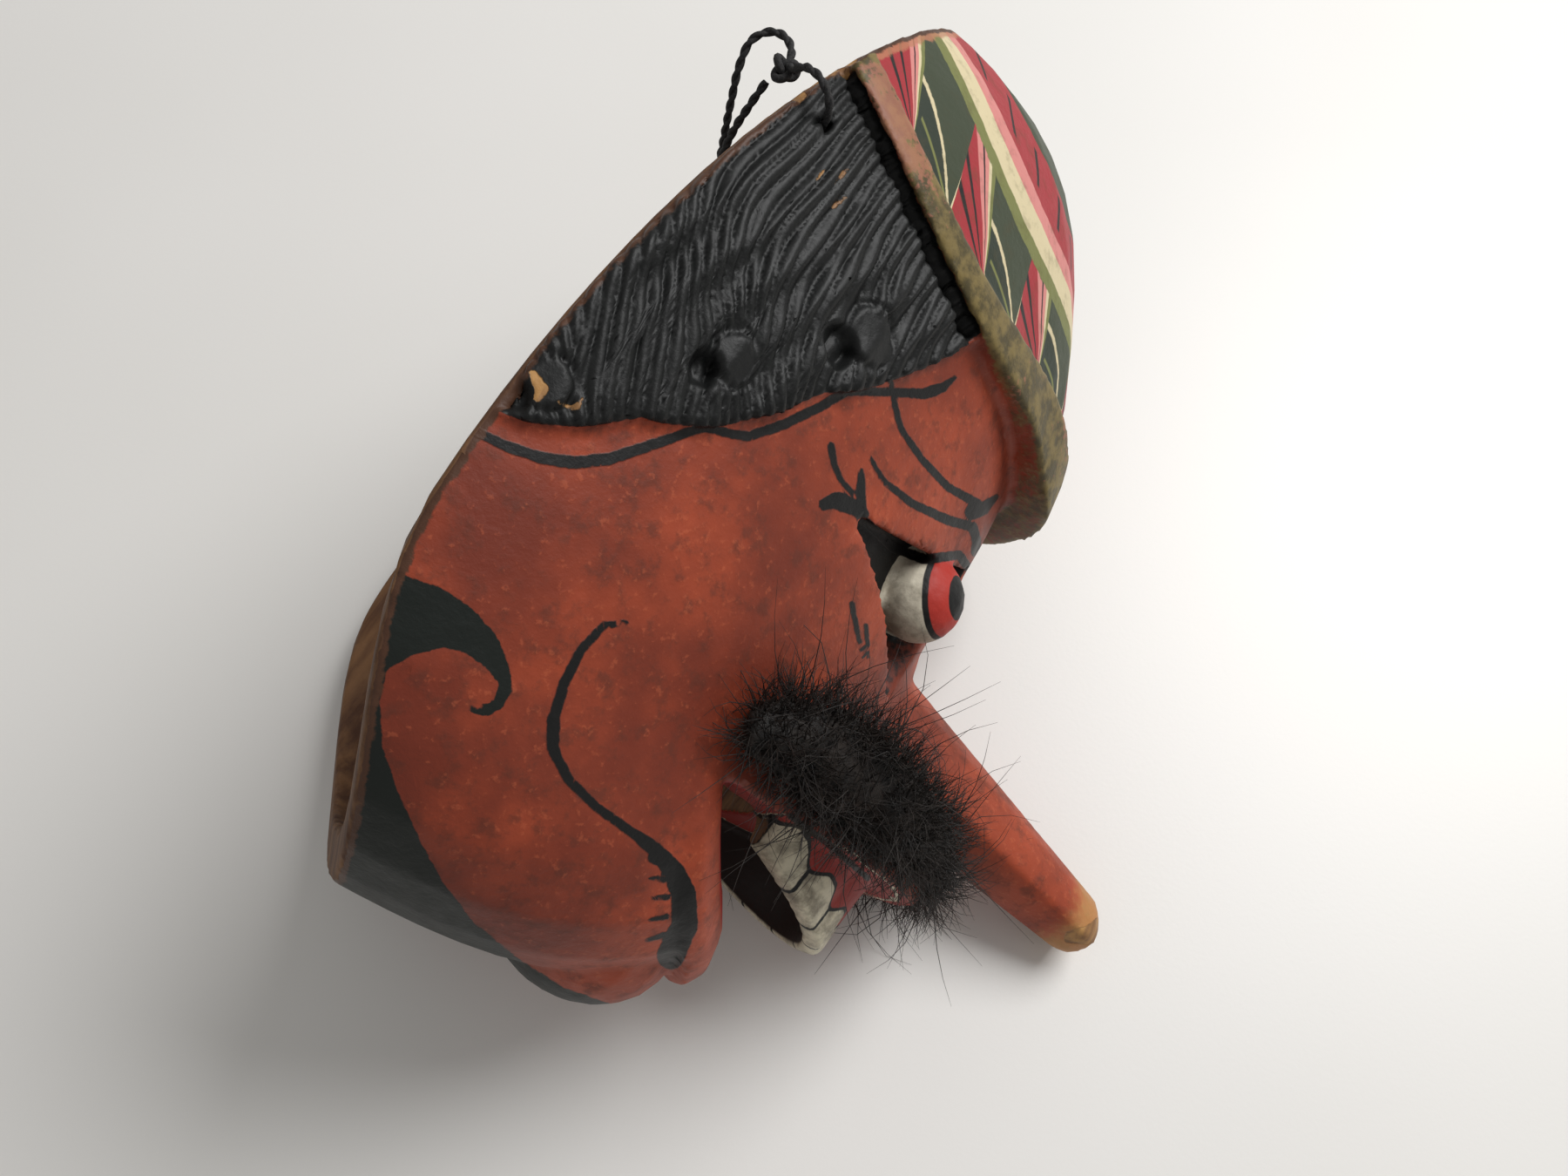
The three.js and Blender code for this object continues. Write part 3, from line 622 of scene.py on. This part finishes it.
def paint_fields(places, normals):
    """Everything that the paint follows, for points on the table, in millimetres unless it is a share."""
    p = upright(places)
    n = normals @ np.array(lying_turn)
    x, y = p[:, 0], p[:, 1]
    to_right = np.where(p[:, 2:] < 0, (1, 1, -1), (1, 1, 1))
    right = p * to_right
    pixels, scale = photo_pixels(right)
    seen = np.einsum("ij,ij->i", n * to_right, np.array(view_spot) - right)
    depth = depth_under_head(p)
    rim_gap = x - rim_forward(y)

    eye = (right - EYE_CENTRE) / EYE_RADII
    ball = np.linalg.norm(eye, axis=1)
    gaze = EYE_GAZE / np.linalg.norm(EYE_GAZE)
    off_gaze = np.degrees(np.arccos(np.clip((eye @ gaze) / np.maximum(ball, 1e-6), -1, 1)))

    outwards = p - np.array((HOLLOW_MIDDLE_X, AXIS_HEIGHT, 0))
    outwards /= np.linalg.norm(outwards, axis=1)[:, None]
    turned_in = smoothstep(0.15, -0.15, np.einsum("ij,ij->i", n, outwards))
    off_the_eye = (ball > 1.25) | (x < 76)
    inner_wall = turned_in * smoothstep(2, 5, depth) * (x < HOLLOW_FRONT_X) * off_the_eye
    bare = np.maximum(inner_wall, smoothstep(0.9, 0.2, rim_gap))

    socket = np.minimum(inside_distance(right[:, [2, 1]], SOCKET_CORNERS), depth - 0.6)
    hair = np.minimum(y - hairline(x), band_edge(x, 0) - y)
    azimuth = np.degrees(np.arctan2(x - 18, np.abs(p[:, 2])))
    return {
        "bare": bare,
        "rim_gap": rim_gap,
        "ink": np.where(seen > 5, line_distance(pixels, BRUSH_LINES) * scale, FAR_OFF),
        "chip": np.where(seen > 5, line_distance(pixels, CHIP_LINES) * scale, FAR_OFF),
        "beard": np.where(y < 80, inside_distance(pixels, BEARD_CORNERS) * scale, -FAR_OFF),
        "ball": np.where(x > 70, 9 * (0.15 - np.abs(ball - 1)), -FAR_OFF),
        "off_gaze": off_gaze,
        "socket": np.where((x > 40) & (bare < 0.5), socket, -FAR_OFF),
        "hair": np.where(bare < 0.5, hair, -FAR_OFF),
        "under_band": band_edge(x, 0) - y,
        "cap_up": (y - band_edge(x, BAND_WIDTH)) / band_slant(x),
        "cap_along": (azimuth - PETAL_START) / PETAL_TURN,
        "nose_along": x,
        **mouth_fields(p, n),
    }


def remeshed(node, step, kept):
    """A copy of a carved solid with an even skin, thinned where it is flat."""
    holder = bpy.data.objects.new(node + "_copy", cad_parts[node].data.copy())
    bpy.context.collection.objects.link(holder)
    welded = bmesh.new()
    welded.from_mesh(holder.data)
    bmesh.ops.remove_doubles(welded, verts=welded.verts, dist=1e-6)
    welded.to_mesh(holder.data)
    welded.free()
    skin = holder.modifiers.new("skin", "REMESH")
    skin.mode = "VOXEL"
    skin.voxel_size = step
    eased = holder.modifiers.new("eased", "SMOOTH")
    eased.factor = 0.5
    eased.iterations = 4
    thinned = holder.modifiers.new("thinned", "DECIMATE")
    thinned.ratio = kept
    mesh = bpy.data.meshes.new_from_object(holder.evaluated_get(bpy.context.evaluated_depsgraph_get()))
    bpy.data.objects.remove(holder)
    return mesh


def places_and_normals(skin):
    skin.normal_update()
    places = np.array([v.co for v in skin.verts])
    return places, np.array([v.normal for v in skin.verts])


def refine(skin, to_detail, longest):
    """Splits the edges longer than a limit that reach as far as the nearest fine detail, in metres."""
    skin.verts.index_update()
    edges = []
    for edge in skin.edges:
        length = edge.calc_length()
        nearest = min(to_detail[edge.verts[0].index], to_detail[edge.verts[1].index])
        if length > longest and nearest < 0.5 * length:
            edges.append(edge)
    bmesh.ops.subdivide_edges(skin, edges=edges, cuts=1, use_grid_fill=True)
    bmesh.ops.triangulate(skin, faces=[f for f in skin.faces if len(f.verts) > 3])


skin = bmesh.new()
skin.from_mesh(remeshed("mask_body", SKIN_STEP, SKIN_KEPT))
for longest in SKIN_EDGE_LIMITS:
    fields = paint_fields(*places_and_normals(skin))
    to_detail = np.where(fields["rim_gap"] > 0.3, -fields["hair"], FAR_OFF)
    for name in ("ink", "beard", "chip", "socket"):
        to_detail = np.minimum(to_detail, np.abs(fields[name]))
    on_detail = (fields["ball"] > 0) | (np.abs(fields["tooth_up"] - 3.5) < 4.5)
    to_detail = np.minimum(to_detail, np.where(on_detail, 0, FAR_OFF))
    refine(skin, np.where(fields["bare"] < 0.5, to_detail, FAR_OFF) / 1000, longest)
places, normals = places_and_normals(skin)
fields = paint_fields(places, normals)
over_hair = smoothstep(-0.2, 0.5, fields["hair"]) * smoothstep(0.3, 1.2, fields["rim_gap"])
p = upright(places)
relief = over_hair * hair_relief(p[:, 0], p[:, 1], fields["under_band"])
places = places + normals * relief[:, None] / 1000
places[:, 2] = np.maximum(places[:, 2], 0)
for vertex, spot in zip(skin.verts, places):
    vertex.co = spot
mask_mesh = bpy.data.meshes.new("painted_mask")
for face in skin.faces:
    face.smooth = True
skin.to_mesh(mask_mesh)
skin.free()
for name, values in fields.items():
    mask_mesh.attributes.new(name, "FLOAT", "POINT").data.foreach_set("value", values.astype(np.float32))

FACE_RED = (0.37, 0.062, 0.024, 1)
FACE_DEEP = (0.17, 0.029, 0.014, 1)
FACE_WORN = (0.10, 0.026, 0.015, 1)
FACE_LIGHT = (0.52, 0.12, 0.05, 1)
INK_BLACK = (0.006, 0.006, 0.006, 1)
HAIR_BLACK = (0.006, 0.0065, 0.0065, 1)
BEARD_BLACK = (0.008, 0.011, 0.009, 1)
BAND_GOLD = (0.19, 0.14, 0.05, 1)
BAND_DARK = (0.07, 0.055, 0.022, 1)
BAND_PINK = (0.42, 0.15, 0.10, 1)
CAP_RED = (0.33, 0.022, 0.03, 1)
CAP_PINK = (0.60, 0.22, 0.20, 1)
CAP_GREEN = (0.038, 0.05, 0.026, 1)
CAP_WORN = (0.42, 0.17, 0.09, 1)
CAP_LEAF = (0.02, 0.03, 0.018, 1)
CAP_OLIVE = (0.17, 0.18, 0.055, 1)
CAP_CREAM = (0.62, 0.53, 0.33, 1)
MOUTH_RED = (0.30, 0.022, 0.016, 1)
TOOTH_CREAM = (0.66, 0.60, 0.45, 1)
TOOTH_GREY = (0.22, 0.19, 0.14, 1)
MOUTH_DARK = (0.02, 0.011, 0.009, 1)
EYE_CREAM = (0.58, 0.53, 0.42, 1)
IRIS_RED = (0.40, 0.03, 0.02, 1)
WOOD_DARK = (0.075, 0.032, 0.017, 1)
WOOD_BARE = (0.20, 0.10, 0.045, 1)
WOOD_RAW = (0.47, 0.25, 0.085, 1)
EYE_RINGS = ((66, INK_BLACK), (58, IRIS_RED), (29, INK_BLACK))
INK_SPREAD = 0.16
CAP_SCALE = 0.6
PETAL_LENGTH = 27
PETAL_TIP = 14.0
LEAF_HEIGHT = 6.3
LEAF_OUTLINE = 0.35
STRIPES_START = 13.5
STRIPES_REPEAT = 25
STRIPES = ((1.9, CAP_CREAM), (5.0, CAP_PINK), (7.2, CAP_RED))
STRIPES_END = 13.9
PAINT_RELIEF = 0.0003
PAINT_GLOSS = 0.3

mask_paint, wire, shader = new_finish("painted_wood")
place = wire.place()
broad = wire.grain(place, 28.0, 4)
mottle = wire.grain(place, 260.0, 6, 0.65)
speck = wire.grain(place, 750.0, 3)
long_grain = wire.grain(wire.stretched(place, (260, 26, 260)), 1.0, 4)
ragged = 0.9 * (mottle - 0.5) + 0.5 * (speck - 0.5)
shaky = 0.5 * (speck - 0.5)


def layer(value, softness=0.12):
    """Where a painted area covers the wood: a field in millimetres with a slightly uneven edge."""
    return (value + shaky).between(-softness, softness)


colour = broad.between(0.35, 0.65).paint(FACE_DEEP, FACE_RED)
colour = (0.6 * mottle.between(0.48, 0.68)).paint(colour, FACE_WORN)
colour = (0.3 * (speck + 0.3 * (broad - 0.5)).between(0.56, 0.7)).paint(colour, FACE_LIGHT)
tip_worn = (wire.field("nose_along") + 6 * ragged).between(150, 157)
colour = (0.75 * tip_worn).paint(colour, WOOD_RAW)

in_mouth = layer(wire.field("mouth"))
colour = in_mouth.paint(colour, MOUTH_RED)
tooth_up = wire.field("tooth_up")
tooth_gap = wire.field("tooth_gap")
gum = tooth_up - 4.8 - 2.6 * tooth_gap.between(0.0, 4.5)
in_arch = tooth_up.between(-2.0, -1.5)
on_tooth = in_arch * (1 - layer(gum)) * (tooth_gap + shaky).between(0.3, 0.55)
tooth_ink = in_arch * (1 - (gum + shaky).between(0.7, 0.95))
colour = in_arch.paint(colour, MOUTH_RED)
colour = tooth_ink.paint(colour, INK_BLACK)
colour = on_tooth.paint(colour, mottle.between(0.35, 0.7).paint(TOOTH_CREAM, TOOTH_GREY))
colour = (layer(wire.field("arch_inside")) * tooth_up.between(0.6, 1.2)).paint(colour, MOUTH_DARK)

socket = layer(wire.field("socket"))
colour = socket.paint(colour, INK_BLACK)
ball = layer(wire.field("ball"))
off_gaze = wire.field("off_gaze") + 2 * ragged
colour = ball.paint(colour, (0.6 * mottle.between(0.4, 0.65)).paint(EYE_CREAM, TOOTH_GREY))
for ring, shade in EYE_RINGS:
    colour = (ball * (1 - off_gaze.between(ring, ring + 1.5))).paint(colour, shade)

beard = layer(wire.field("beard") + 0.4 * ragged)
ink = layer(INK_SPREAD - wire.field("ink"), INK_SPREAD)
colour = beard.paint(colour, BEARD_BLACK)
colour = ink.paint(colour, INK_BLACK)

cap_up = CAP_SCALE * wire.field("cap_up")
cap_along = wire.field("cap_along")
petal = PETAL_LENGTH * (cap_along + 0.012 * ragged).fraction()
to_tip = PETAL_TIP - petal
fan = cap_up / (abs(to_tip) + 0.05)
behind_tip = to_tip.between(-0.1, 0.1)
leaf_top = LEAF_HEIGHT - 0.025 * (petal - 11) * (petal - 11)
cap_colour = layer(cap_up - leaf_top - LEAF_OUTLINE).paint(CAP_CREAM, CAP_GREEN)
cap_colour = (1 - layer(cap_up - leaf_top + LEAF_OUTLINE)).paint(cap_colour, CAP_LEAF)
vein = 1 - abs(cap_up - 0.45 * leaf_top).between(0.12, 0.3)
cap_colour = (vein * (1 - behind_tip)).paint(cap_colour, CAP_OLIVE)
petal_colour = fan.between(2.3, 2.4).paint(CAP_OLIVE, cap_colour)
petal_colour = (1 - fan.between(1.75, 1.8)).paint(petal_colour, CAP_CREAM)
petal_colour = (1 - fan.between(1.45, 1.5)).paint(petal_colour, CAP_PINK)
petal_colour = (1 - abs(fan - 1.15).between(0.03, 0.06)).paint(petal_colour, INK_BLACK)
petal_colour = (1 - fan.between(0.86, 0.9)).paint(petal_colour, CAP_RED)
petal_colour = (1 - abs(abs(fan - 0.42) - 0.13).between(0.025, 0.05)).paint(petal_colour, INK_BLACK)
cap_colour = behind_tip.paint(cap_colour, petal_colour)
cap_colour = (1 - (petal + 0.1 * cap_up).between(0.45, 0.6)).paint(cap_colour, CAP_CREAM)
stripes = cap_up - STRIPES_START + 1.7 * cap_along + 0.5 * ragged
bands = STRIPES_REPEAT * (stripes / STRIPES_REPEAT).fraction()
stripe_colour = CAP_OLIVE
for start, shade in STRIPES:
    stripe_colour = bands.between(start, start + 0.2).paint(stripe_colour, shade)
dash = 1 - abs((cap_along * 2.6 + 0.03 * cap_up).fraction() - 0.5).between(0.04, 0.07)
dash = dash * bands.between(8.4, 8.7) * (1 - bands.between(12.6, 12.9))
stripe_colour = dash.paint(stripe_colour, INK_BLACK)
stripe_colour = bands.between(STRIPES_END, STRIPES_END + 0.2).paint(stripe_colour, CAP_GREEN)
cap_colour = layer(stripes).paint(cap_colour, stripe_colour)
cap_colour = (0.3 * mottle.between(0.5, 0.7)).paint(cap_colour, BAND_DARK)
at_rim = 1 - (wire.field("rim_gap") + 3 * ragged).between(2.6, 3.4)
cap_colour = (0.8 * at_rim).paint(cap_colour, CAP_WORN)

hair = layer(wire.field("hair"))
band = layer(0 - wire.field("under_band"))
cap = layer(cap_up)
band_colour = mottle.between(0.38, 0.62).paint(BAND_DARK, BAND_GOLD)
band_colour = (0.55 * (broad + 0.5 * (speck - 0.5)).between(0.56, 0.64)).paint(band_colour, BAND_PINK)
colour = hair.paint(colour, HAIR_BLACK)
colour = band.paint(colour, band_colour)
colour = cap.paint(colour, cap_colour)

bare = wire.field("bare").between(0.35, 0.65)
rim_worn = 1 - (wire.field("rim_gap") + 2.2 * ragged).between(1.4, 1.9)
wood = long_grain.between(0.3, 0.7).paint(WOOD_DARK, WOOD_BARE)
colour = rim_worn.paint(colour, WOOD_DARK)
colour = bare.paint(colour, wood)
chip = layer(0 - wire.field("chip") + 0.4 * ragged)
colour = chip.paint(colour, long_grain.between(0.35, 0.65).paint(WOOD_BARE, WOOD_RAW))

lacquer = (hair * (1 - band)).most(beard).most(ink)
roughness = 0.42 + 0.22 * mottle - 0.03 * lacquer + 0.25 * bare
height = 0.5 * mottle + 0.3 * speck + 0.4 * bare * long_grain - 0.3 * chip + 0.15 * ink
finish_surface(wire, shader, colour, roughness, height, PAINT_RELIEF)
shader.inputs["Specular IOR Level"].default_value = PAINT_GLOSS

painted_mask = add_piece("painted_mask", mask_mesh, mask_paint)
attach(painted_mask, "root")
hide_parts("mask_body")


# The moustache: a strip of dark animal hide with its fur on, glued over the upper lip from cheek to cheek.
# The hide is hidden under a dense coat of fine curling hairs that stand out from it and lean back towards
# the cheeks, with a few long stray ones.
HIDE_STEP = 0.0012
HIDE_KEPT = 0.5
FUR_SEED = 7
FUR_HAIRS = 5400
FUR_POINTS = 5
FUR_THICKNESS = 0.00013
FUR_LENGTHS = (0.005, 0.012)
FUR_STRAY_LENGTHS = (0.014, 0.027)
FUR_STRAY_SHARE = 0.06
FUR_CURL = 0.3
FUR_ROOT_DEPTH = 0.0004
FUR_ABOVE_TABLE = 0.0003
FUR_FREE_SPACE = 0.006
FUR_BLACK = (0.003, 0.0024, 0.002, 1)
FUR_BROWN = (0.02, 0.012, 0.008, 1)

hide = bmesh.new()
hide.from_mesh(remeshed("moustache", HIDE_STEP, HIDE_KEPT))
hide.normal_update()
hide.faces.ensure_lookup_table()
draw = random.Random(FUR_SEED)
hair_lines = []
while len(hair_lines) < FUR_HAIRS:
    root = hide.faces[draw.randrange(len(hide.faces))]
    centre = root.calc_center_median()
    outwards = root.normal
    wood_ahead = carved_tree.ray_cast(centre + 0.0002 * outwards, outwards, FUR_FREE_SPACE)[0]
    if wood_ahead is not None:
        continue
    side = 1 if upright(np.array(centre))[2] > 0 else -1
    lengthwise = lying_turn @ Vector((-0.8, 0.25, 0.5 * side))
    downwards = lying_turn @ Vector((-0.2, -1, 0.1 * side))
    tangle = Vector([draw.gauss(0, 1) for _ in range(3)])
    stray = draw.random() < FUR_STRAY_SHARE
    length = draw.uniform(*(FUR_STRAY_LENGTHS if stray else FUR_LENGTHS))
    heading = draw.uniform(0.3, 0.9) * outwards + draw.gauss(0.25, 0.6) * lengthwise
    heading = (heading + draw.gauss(0.0, 0.5) * downwards + 0.25 * tangle).normalized()
    turn = FUR_CURL * Vector([draw.gauss(0, 1) for _ in range(3)])
    place_now = centre - FUR_ROOT_DEPTH * outwards
    line = [place_now]
    for _ in range(FUR_POINTS - 1):
        place_now = place_now + heading * length / (FUR_POINTS - 1)
        line.append(Vector((place_now.x, place_now.y, max(place_now.z, FUR_ABOVE_TABLE))))
        heading = (heading + turn).normalized()
    hair_lines.append(line)

hide_mesh = bpy.data.meshes.new("moustache_hide")
for face in hide.faces:
    face.smooth = True
hide.to_mesh(hide_mesh)
hide.free()

fur_material, wire, shader = new_finish("dark_fur")
fur_place = wire.place()
tuft = wire.grain(fur_place, 260.0, 3)
strand = wire.grain(fur_place, 3000.0, 2)
fur_colour = (0.6 * tuft + 0.4 * strand).between(0.35, 0.68).paint(FUR_BLACK, FUR_BROWN)
finish_surface(wire, shader, fur_colour, 0.45 + 0.2 * tuft, strand, 0.0001)
hide_piece = add_piece("moustache_hide", hide_mesh, fur_material)
coat_mesh = tube_mesh("moustache_fur", hair_lines, FUR_THICKNESS, roundness=0, pointed=True)
coat = add_piece("moustache_fur", coat_mesh, fur_material)
for fur_piece in (hide_piece, coat):
    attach(fur_piece, "root")
    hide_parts("moustache")


# The light: a broad soft window above and to the upper right of the view, a pale wall on the other side,
# and an even glow from the rest of the room.
WINDOW_AIM = 0.75 * view_right + 0.75 * view_up + 0.7 * view_back
WALL_AIM = -0.9 * view_right + 0.2 * view_up + 0.9 * view_back
ROOM_WHITE = (1.0, 0.985, 0.96, 1)
ROOM_STRENGTH = 0.32


def area_light(name, direction, distance, size, power):
    light = bpy.data.objects.new(name, bpy.data.lights.new(name, "AREA"))
    light.data.shape = "DISK"
    light.data.size = size
    light.data.energy = power
    aim = (lying_turn @ direction).normalized()
    light.location = on_table(VIEW_CENTRE) + distance * aim
    light.rotation_euler = aim.to_track_quat("Z", "Y").to_euler()
    bpy.context.collection.objects.link(light)


area_light("window", WINDOW_AIM, distance=1.0, size=0.6, power=9.0)
area_light("far_wall", WALL_AIM, distance=1.3, size=1.2, power=0.6)
room = bpy.data.worlds.new("room")
room.use_nodes = True
background = room.node_tree.nodes["Background"]
background.inputs["Color"].default_value = ROOM_WHITE
background.inputs["Strength"].default_value = ROOM_STRENGTH
bpy.context.scene.world = room
